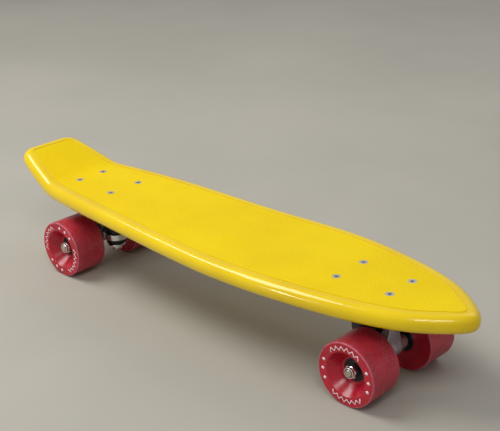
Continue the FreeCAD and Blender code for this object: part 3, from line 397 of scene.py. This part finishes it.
def dress_cad_nodes():
    """Gives every carried-over CAD node its material, by the last part of its name."""
    for name, obj in nodes.items():
        for kind, material in NODE_MATERIALS.items():
            if name.endswith("_" + kind):
                paint(obj, material)
                for polygon in obj.data.polygons:
                    polygon.material_index = 0


def add_modifier(obj, kind, **settings):
    made = obj.modifiers.new(kind.lower(), kind)
    for name, value in settings.items():
        setattr(made, name, value)
    return made


def soften_casting(name, voxel, rounds):
    """Rounds a moulded or cast node all over: its corners melt by about a voxel."""
    obj = nodes[name]
    add_modifier(obj, "WELD", merge_threshold=SAME_POINT)
    add_modifier(obj, "REMESH", mode="VOXEL", voxel_size=voxel, use_smooth_shade=True)
    add_modifier(obj, "SMOOTH", factor=0.5, iterations=rounds)


def break_edges(name, width):
    """A small bevel on the sharp edges of a metal node, so that they catch the light."""
    obj = nodes[name]
    for polygon in obj.data.polygons:
        polygon.use_smooth = True
    add_modifier(obj, "WELD", merge_threshold=SAME_POINT)
    add_modifier(obj, "BEVEL", width=width, segments=2, limit_method="ANGLE", angle_limit=BEVELLED_TURN)
    add_modifier(obj, "WEIGHTED_NORMAL", keep_sharp=True)


def new_piece(name, points, faces, material):
    """A new object of one material, smooth but for its crisp edges."""
    mesh = bpy.data.meshes.new(name)
    mesh.from_pydata(points, [], faces)
    mesh.validate()
    obj = bpy.data.objects.new(name, mesh)
    bpy.context.scene.collection.objects.link(obj)
    for polygon in mesh.polygons:
        polygon.use_smooth = True
    mesh.set_sharp_from_angle(angle=CRISP_TURN)
    return paint(obj, material)


def lathe(name, section, to_world, material, segments):
    """Turns a closed section of (radius, along) once round and places it with to_world."""
    points, faces = [], []
    count = len(section)
    for step in range(segments):
        angle = 2 * math.pi * step / segments
        for radius, along in section:
            points.append(to_world @ Vector((radius * math.cos(angle), radius * math.sin(angle), along)))
        for i in range(count):
            near, far = step * count, (step + 1) % segments * count
            j = (i + 1) % count
            faces.append((near + i, far + i, far + j, near + j))
    return new_piece(name, points, faces, material)


def rounded(section, radius, steps):
    """A closed section with each corner that has a radius replaced by an arc."""
    made = []
    count = len(section)
    for i, (corner, size) in enumerate(zip(section, radius)):
        here = Vector(corner)
        if not size:
            made.append(tuple(here))
            continue
        before = (Vector(section[i - 1]) - here).normalized()
        after = (Vector(section[(i + 1) % count]) - here).normalized()
        half = math.acos(max(-1.0, min(1.0, before.dot(after)))) / 2
        reach = size / math.tan(half)
        centre = here + (before + after).normalized() * (size / math.sin(half))
        start, end = here + before * reach - centre, here + after * reach - centre
        for step in range(steps + 1):
            share = step / steps
            turn = math.pi - 2 * half
            spoke = (start * math.sin((1 - share) * turn) + end * math.sin(share * turn)) / math.sin(turn)
            made.append(tuple(centre + spoke))
    return made


# ---------------------------------------------------------------- deck
# Faces that meet at less than this turn belong to one smooth surface.
SMOOTH_TURN = math.radians(25)
# A normal's upward part, from which on a face counts as level, or as looking up at all.
LEVEL, LOOKING_UP = 0.99, 0.3
# Where each material of the deck is in its list.
UNDER_SLOT, GRAINED_SLOT, GLOSSY_SLOT = 0, 1, 2


def polygon_facts(mesh):
    """Normals, centres and welded corner numbers of a mesh's polygons."""
    normals = np.array([polygon.normal for polygon in mesh.polygons])
    centres = np.array([polygon.center for polygon in mesh.polygons])
    spots = {}
    corner = [spots.setdefault(tuple(round(part, 6) for part in vertex.co), len(spots))
              for vertex in mesh.vertices]
    rings = [[corner[index] for index in polygon.vertices] for polygon in mesh.polygons]
    return normals, centres, rings


def neighbours(rings):
    """For each polygon, the polygons that share an edge with it."""
    across = {}
    for index, ring in enumerate(rings):
        for a, b in zip(ring, ring[1:] + ring[:1]):
            across.setdefault((min(a, b), max(a, b)), []).append(index)
    beside = [set() for ring in rings]
    for sharers in across.values():
        for index in sharers:
            beside[index].update(sharers)
    return beside


def smooth_region(normals, beside, seed, most_turn):
    """Polygons reached from a seed without crossing an edge that turns more than most_turn."""
    limit = math.cos(most_turn)
    found, front = {seed}, [seed]
    while front:
        here = front.pop()
        for there in beside[here] - found:
            if normals[here] @ normals[there] > limit:
                found.add(there)
                front.append(there)
    return found


def dress_deck():
    """The standing surface inside the groove is grained, the groove and the rim are glossy and
    the underside is satin."""
    deck = nodes["deck"]
    finishes = {UNDER_SLOT: DECK_UNDER, GRAINED_SLOT: DECK_GRAINED, GLOSSY_SLOT: DECK_GLOSSY}
    paint(deck, *(finishes[slot] for slot in sorted(finishes)))
    normals, centres, rings = polygon_facts(deck.data)
    beside = neighbours(rings)
    truck_x = joints["front_steer"]["pos_m"][0]
    upward = np.where(normals[:, 2] > LEVEL)[0]
    standing = int(upward[np.argmin(np.hypot(centres[upward, 0] - truck_x, centres[upward, 1]))])
    nose = int(np.argmax(centres[:, 0]))
    grained = smooth_region(normals, beside, standing, SMOOTH_TURN)
    glossy = smooth_region(normals, beside, nose, SMOOTH_TURN)
    dressed = grained | glossy
    for index in range(len(rings)):
        if normals[index][2] > LOOKING_UP and index not in dressed:
            glossy |= beside[index] - grained
    for index in glossy:
        deck.data.polygons[index].material_index = GLOSSY_SLOT
    for index in grained:
        deck.data.polygons[index].material_index = GRAINED_SLOT


# ---------------------------------------------------------------- wheels
TYRE_RADIUS, TYRE_WIDTH, TYRE_BORE = 34.5 * MM, 41.5 * MM, 12.75 * MM
MOUTH_RADIUS, DISH_FLOOR_RADIUS, DISH_DEPTH = 23.8 * MM, 13.7 * MM, 14.2 * MM
TREAD_ROUND, MOUTH_ROUND, STEP_ROUND = 1.4 * MM, 0.9 * MM, 1.2 * MM
# How far the dish's wall stands off the mouth, and the step at its foot: outwards and up.
MOUTH_INSET, STEP_OUT, STEP_UP = 0.2 * MM, 1.1 * MM, 0.9 * MM
TYRE_SEGMENTS, TYRE_ROW = 192, 1.5 * MM
# The rubbed line on the tread's edge reaches this share of the edge's rounding.
CORNER_SHARE = 0.75

PRINT_RADIUS = 28.3 * MM
PRINT_LIFT, PRINT_THICKNESS = 0.02 * MM, 0.03 * MM
ZIGZAG_STROKES, ZIGZAG_REACH, ZIGZAG_SWING, ZIGZAG_WIDTH = 6, 40.0, 2.1 * MM, 1.25 * MM
LOZENGE_PITCH, LOZENGE_HALF_WIDTH, LOZENGE_HALF_HEIGHT = 21, 4.2, 2.2 * MM
# How far each wheel has rolled, in degrees.
PRINT_PHASE = {"front_right": 4, "rear_right": 66, "front_left": 140, "rear_left": 25}


def wheel_frame(end, side):
    """Matrix from a wheel's own frame, Z along the axle outwards, to the world."""
    low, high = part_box("%s_%s_tyre" % (end, side))
    centre = (low + high) / 2
    sign = SIDES[side]
    inner = min(abs(low.y), abs(high.y))
    tip = Matrix.Rotation(-sign * math.pi / 2, 4, "X")
    return Matrix.Translation((centre.x, sign * inner, centre.z)) @ tip


def make_tyre(end, side):
    """Tread, flat printed face, dished recess with a rolled mouth and a soft step at its floor."""
    floor = TYRE_WIDTH - DISH_DEPTH
    corners = [(TYRE_BORE, 0), (TYRE_RADIUS, 0), (TYRE_RADIUS, TYRE_WIDTH),
               (MOUTH_RADIUS + MOUTH_INSET, TYRE_WIDTH), (DISH_FLOOR_RADIUS + STEP_OUT, floor + STEP_UP),
               (DISH_FLOOR_RADIUS, floor), (TYRE_BORE, floor)]
    rounds = [0, TREAD_ROUND, TREAD_ROUND, MOUTH_ROUND, STEP_ROUND, 0, 0]
    section = rounded(corners, rounds, 6)
    dense = []
    for (r0, z0), (r1, z1) in zip(section, section[1:] + section[:1]):
        pieces = max(1, int(math.hypot(r1 - r0, z1 - z0) / TYRE_ROW))
        dense += [(r0 + (r1 - r0) * k / pieces, z0 + (z1 - z0) * k / pieces) for k in range(pieces)]
    tyre = lathe("%s_%s_wheel_tyre" % (end, side), dense, wheel_frame(end, side), URETHANE, TYRE_SEGMENTS)
    back = wheel_frame(end, side).inverted()
    worn, around, edge = [], [], []
    for vertex in tyre.data.vertices:
        local = back @ vertex.co
        radius = math.hypot(local.x, local.y)
        inset = TYRE_RADIUS - radius
        tread = min(1.0, max(0.0, 1.0 - inset / TREAD_ROUND))
        shoulder = abs(2 * local.z / TYRE_WIDTH - 1) ** 3
        worn.append(tread * (0.5 + 0.5 * shoulder))
        near_face = min(local.z, TYRE_WIDTH - local.z)
        edge.append(1.0 if max(inset, near_face) < CORNER_SHARE * TREAD_ROUND else 0.0)
        around.extend((local.x / radius, local.y / radius, local.z))
    tyre.data.attributes.new("worn", "FLOAT", "POINT").data.foreach_set("value", worn)
    tyre.data.attributes.new("corner", "FLOAT", "POINT").data.foreach_set("value", edge)
    tyre.data.attributes.new("round", "FLOAT_VECTOR", "POINT").data.foreach_set("vector", around)
    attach(tyre, "%s_%s_wheel" % (end, side))
    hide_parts("%s_%s_tyre" % (end, side))


def stroke(points, width):
    """Corners and faces of a flat band of one width along a line of flat points."""
    corners, faces = [], []
    for i, point in enumerate(points):
        before, after = points[max(0, i - 1)], points[min(len(points) - 1, i + 1)]
        along = (after - before).normalized()
        sideways = Vector((-along.y, along.x)) * width / 2
        corners += [point + sideways, point - sideways]
    for i in range(len(points) - 1):
        faces.append((2 * i, 2 * i + 1, 2 * i + 3, 2 * i + 2))
    return corners, faces


def polar(radius, degrees):
    """A flat point at an angle round the middle."""
    return Vector((radius * math.cos(math.radians(degrees)), radius * math.sin(math.radians(degrees))))


def print_shapes():
    """A plain printed border: a zigzag over and under the hub and lozenges between."""
    shapes = []
    for middle in (90, 270):
        line = []
        for k in range(2 * ZIGZAG_STROKES + 1):
            swing = ZIGZAG_SWING if k % 2 else -ZIGZAG_SWING
            at = middle - ZIGZAG_REACH + ZIGZAG_REACH * k / ZIGZAG_STROKES
            line.append(polar(PRINT_RADIUS + swing, at))
        shapes.append(stroke(line, ZIGZAG_WIDTH))
    for middle in (0, 180):
        for at in (middle - LOZENGE_PITCH, middle, middle + LOZENGE_PITCH):
            lozenge = [polar(PRINT_RADIUS + LOZENGE_HALF_HEIGHT, at),
                       polar(PRINT_RADIUS, at + LOZENGE_HALF_WIDTH),
                       polar(PRINT_RADIUS - LOZENGE_HALF_HEIGHT, at),
                       polar(PRINT_RADIUS, at - LOZENGE_HALF_WIDTH)]
            shapes.append((lozenge, [(0, 1, 2, 3)]))
    return shapes


def make_print(end, side):
    """The printed border as thin plates just proud of the wheel's flat face."""
    phase = math.radians(PRINT_PHASE["%s_%s" % (end, side)])
    spot = wheel_frame(end, side) @ Matrix.Rotation(phase, 4, "Z")
    points, faces = [], []
    for corners, shape_faces in print_shapes():
        first = len(points)
        points += [Vector((*corner, TYRE_WIDTH + PRINT_LIFT)) for corner in corners]
        faces += [tuple(first + index for index in face) for face in shape_faces]
    made = new_piece("%s_%s_wheel_print" % (end, side), [spot @ point for point in points], faces, PRINT)
    flip_to(made, spot.to_3x3() @ Vector((0, 0, 1)))
    thickness = add_modifier(made, "SOLIDIFY", thickness=PRINT_THICKNESS, offset=-1.0)
    apply_modifiers(made, thickness)
    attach(made, "%s_%s_wheel" % (end, side))


def flip_to(obj, outward):
    """Turns every face of a flat piece to look outward."""
    work = bmesh.new()
    work.from_mesh(obj.data)
    work.normal_update()
    bmesh.ops.reverse_faces(work, faces=[face for face in work.faces if face.normal.dot(outward) < 0])
    work.to_mesh(obj.data)
    work.free()


def apply_modifiers(obj, *modifiers):
    """Turns an object's modifiers into its mesh."""
    bpy.context.view_layer.update()
    settled = bpy.data.meshes.new_from_object(obj.evaluated_get(bpy.context.evaluated_depsgraph_get()))
    for modifier in modifiers:
        obj.modifiers.remove(modifier)
    obj.data = settled


# ---------------------------------------------------------------- bushings
def kingpin_frame(end):
    """Matrix from the kingpin's frame, Z up from the middle of the hanger's ring, to the world."""
    return Matrix.Translation(joints[end + "_steer"]["pos_m"])


# Each bushing's side of the ring, 1 above and -1 below, and its height.
BUSHINGS = {"upper_bushing": (1, 11.0 * MM), "lower_bushing": (-1, 7.5 * MM)}
# Its bore, the step that sits in the ring, and its radius near the ring and at its far end.
BUSHING_BORE, BUSHING_STEP, STEP_RADIUS = 4.95 * MM, 1.5 * MM, 7.8 * MM
BUSHING_FAT, BUSHING_THIN = 13.3 * MM, 9.5 * MM
# The share of its height that stays fat, and the roundings of its corners.
FAT_SHARE = 0.36
BUSHING_ROUNDS = (0, 0.4 * MM, 0, 1.1 * MM, 2.6 * MM, 0.7 * MM, 0)
BUSHING_SEGMENTS = 96


def make_bushings(end):
    """Urethane bushings, squeezed a little barrel-shaped."""
    spot = kingpin_frame(end)
    for kind, (way, height) in BUSHINGS.items():
        corners = [(BUSHING_BORE, -BUSHING_STEP), (STEP_RADIUS, -BUSHING_STEP), (STEP_RADIUS, 0),
                   (BUSHING_FAT, 0), (BUSHING_FAT, height * FAT_SHARE), (BUSHING_THIN, height),
                   (BUSHING_BORE, height)]
        outline = rounded(corners, BUSHING_ROUNDS, 5)
        section = [(radius, way * (RING_HALF + along)) for radius, along in outline]
        # The mirrored section runs the other way round, so that its faces still look outward.
        section = section[::way]
        made = lathe("%s_%s_urethane" % (end, kind), section, spot, BUSHING, BUSHING_SEGMENTS)
        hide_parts("%s_%s" % (end, kind))
        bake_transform(made)


# ---------------------------------------------------------------- locknuts
AXLE_NUT_FLATS, AXLE_NUT_HEIGHT, AXLE_RADIUS = 12.7 * MM, 8.6 * MM, 4.02 * MM
KINGPIN_NUT_FLATS, KINGPIN_RADIUS = 14.3 * MM, 4.8 * MM
HEX_TURN, NUT_STEPS = math.radians(15), 144
# The bevel at a hexagon's ends leaves a circle this share of the width across flats.
BEVEL_SHARE, BEVEL_TURN = 0.975, math.radians(30)
COLLAR_HEIGHT, COLLAR_INSET, COLLAR_ROUND = 2.6 * MM, 0.3 * MM, 0.8 * MM
# The collar's rolled lip, its fall inwards, and the insert that lies below it.
LIP_WIDTH, LIP_FALL = 0.35 * MM, 0.12 * MM
INSERT_INSET, INSERT_DEPTH = 0.15 * MM, 0.5 * MM


def nut_rows(flats, height, bore, angle):
    """One slice of a locknut, from its bore round the outside to its bore again: bevelled
    hexagon, rolled collar, sunken insert. Pairs of (radius, along)."""
    sixth = math.radians(60)
    to_flat = (angle - HEX_TURN) % sixth - sixth / 2
    reach = flats / 2 / math.cos(to_flat)
    bevelled = flats / 2 * BEVEL_SHARE
    bevel = (reach - bevelled) * math.tan(BEVEL_TURN)
    shoulder = height - COLLAR_HEIGHT
    collar = flats / 2 - COLLAR_INSET
    rows = [(bore, 0), (bevelled, 0), (reach, bevel), (reach, shoulder - bevel), (bevelled, shoulder),
            (collar, shoulder)]
    for turn in range(0, 91, 15):
        over = math.radians(turn)
        rows.append((collar - COLLAR_ROUND * (1 - math.cos(over)),
                     height - COLLAR_ROUND * (1 - math.sin(over))))
    lip = collar - COLLAR_ROUND - LIP_WIDTH
    insert_top = height - INSERT_DEPTH
    rows += [(lip, height - LIP_FALL), (lip - INSERT_INSET, insert_top), (bore, insert_top)]
    return rows


def nut_mesh(flats, height, bore, to_world, first):
    """Points, faces and the faces' material numbers (1 is the insert) of one locknut."""
    points, faces, kinds = [], [], []
    for step in range(NUT_STEPS):
        angle = 2 * math.pi * step / NUT_STEPS
        rows = nut_rows(flats, height, bore, angle)
        for radius, along in rows:
            points.append(to_world @ Vector((radius * math.cos(angle), radius * math.sin(angle), along)))
        count = len(rows)
        here, there = first + step * count, first + (step + 1) % NUT_STEPS * count
        for i in range(count):
            after = (i + 1) % count
            faces.append((here + i, there + i, there + after, here + after))
            kinds.append(1 if i >= count - 2 else 0)
    return points, faces, kinds


def make_nuts(node, body, flats, bore, places):
    """Locknuts in place of a CAD node, one for each (matrix, height) of places."""
    points, faces, kinds = [], [], []
    for to_world, height in places:
        more, rings, marks = nut_mesh(flats, height, bore, to_world, len(points))
        points += more
        faces += rings
        kinds += marks
    made = new_piece(node + "_rolled", points, faces, ZINC)
    made.data.materials.append(INSERT)
    made.data.polygons.foreach_set("material_index", kinds)
    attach(made, body)
    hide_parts(node)


def make_axle_nuts(end):
    node = end + "_axle_nuts"
    low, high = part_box(node)
    centre = (low + high) / 2
    places = []
    for sign in SIDES.values():
        tip = Matrix.Rotation(-sign * math.pi / 2, 4, "X")
        base = Matrix.Translation((centre.x, sign * (high.y - AXLE_NUT_HEIGHT), centre.z)) @ tip
        places.append((base, AXLE_NUT_HEIGHT))
    make_nuts(node, end + "_truck", AXLE_NUT_FLATS, AXLE_RADIUS, places)


def make_kingpin_nut(end):
    node = end + "_kingpin_nut"
    low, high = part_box(node)
    centre = (low + high) / 2
    base = Matrix.Translation((centre.x, centre.y, high.z)) @ Matrix.Rotation(math.pi, 4, "X")
    make_nuts(node, "deck_body", KINGPIN_NUT_FLATS, KINGPIN_RADIUS, [(base, high.z - low.z)])


# ---------------------------------------------------------------- stage
FLOOR_HALF = 6.0
SKY, SKY_STRENGTH = (0.90, 0.90, 0.92, 1), 0.40
WARM, COOL = (1.0, 0.98, 0.95), (0.97, 0.98, 1.0)
LIT_SPOT = (0.0, 0.0, 0.06)


def make_floor():
    corners = [(FLOOR_HALF * x, FLOOR_HALF * y, 0) for x, y in ((-1, -1), (1, -1), (1, 1), (-1, 1))]
    floor = new_piece("studio_paper", corners, [(0, 1, 2, 3)], backdrop_paper())


def area_light(name, spot, size, power, colour=(1, 1, 1)):
    """A soft rectangular lamp that looks at the lit spot."""
    light = bpy.data.lights.new(name, "AREA")
    light.shape = "RECTANGLE"
    light.size, light.size_y = size
    light.energy = power
    light.color = colour
    obj = bpy.data.objects.new(name, light)
    obj.location = spot
    obj.rotation_euler = (Vector(LIT_SPOT) - Vector(spot)).to_track_quat("-Z", "Y").to_euler()
    bpy.context.scene.collection.objects.link(obj)


def towards(azimuth, elevation, distance):
    """A place seen from the object at an angle from +X and above the floor, in degrees."""
    turn, rise = math.radians(azimuth), math.radians(elevation)
    level = math.cos(rise) * distance
    return (level * math.cos(turn), level * math.sin(turn), math.sin(rise) * distance)


def light_stage():
    world = bpy.data.worlds.new("studio")
    world.use_nodes = True
    background = world.node_tree.nodes["Background"]
    background.inputs["Color"].default_value = SKY
    background.inputs["Strength"].default_value = SKY_STRENGTH
    bpy.context.scene.world = world
    area_light("key", towards(-150, 56, 2.2), (1.2, 1.0), 30, WARM)
    area_light("front", towards(-44, 50, 2.2), (0.7, 0.5), 9, COOL)
    area_light("window", towards(-110, 13, 2.0), (0.30, 0.34), 6)
    area_light("back", towards(80, 48, 2.4), (1.6, 1.0), 6)


CAMERA_AZIMUTH, CAMERA_ELEVATION, CAMERA_ROLL = (math.radians(a) for a in (44.43, 22.91, -1.72))
CAMERA_SPOT = Vector((0.8091, -0.7859, 0.5941))
CAMERA_LENS, CAMERA_SENSOR = 79.5, 36
CAMERA_NEAR, CAMERA_FAR = 0.05, 50


def make_camera():
    """The photograph's viewing angle."""
    camera = bpy.data.cameras.new("camera")
    camera.lens = CAMERA_LENS
    camera.sensor_width = CAMERA_SENSOR
    camera.clip_start, camera.clip_end = CAMERA_NEAR, CAMERA_FAR
    obj = bpy.data.objects.new("camera", camera)
    level, rise = math.cos(CAMERA_ELEVATION), math.sin(CAMERA_ELEVATION)
    back = Vector((math.sin(CAMERA_AZIMUTH) * level, -math.cos(CAMERA_AZIMUTH) * level, rise))
    right = Vector((0, 0, 1)).cross(back).normalized()
    up = back.cross(right)
    turn, hold = math.sin(CAMERA_ROLL), math.cos(CAMERA_ROLL)
    axes = Matrix((right * hold + up * turn, up * hold - right * turn, back)).transposed()
    obj.matrix_world = Matrix.Translation(CAMERA_SPOT) @ axes.to_4x4()
    bpy.context.scene.collection.objects.link(obj)
    bpy.context.scene.camera = obj


# ---------------------------------------------------------------- assembly
HANGER_VOXEL, BASEPLATE_VOXEL, MELT_ROUNDS = 0.6 * MM, 0.7 * MM, 4
BROKEN_EDGE, BALL_WELD = 0.18 * MM, 0.01 * MM

dress_cad_nodes()
dress_deck()
for truck in TRUCKS:
    paint(nodes[truck + "_hanger"], cast_aluminium(truck))
    soften_casting(truck + "_hanger", HANGER_VOXEL, MELT_ROUNDS)
    soften_casting(truck + "_baseplate", BASEPLATE_VOXEL, MELT_ROUNDS)
    make_bushings(truck)
    make_axle_nuts(truck)
    make_kingpin_nut(truck)
    for kind in ("axle_washers", "upper_washer", "cup_washer", "deck_screws"):
        break_edges("%s_%s" % (truck, kind), BROKEN_EDGE)
    for wheel_side in SIDES:
        add_modifier(nodes["%s_%s_balls" % (truck, wheel_side)], "WELD", merge_threshold=BALL_WELD)
        make_tyre(truck, wheel_side)
        make_print(truck, wheel_side)
make_floor()
light_stage()
make_camera()
bpy.context.scene.view_settings.view_transform = "Standard"
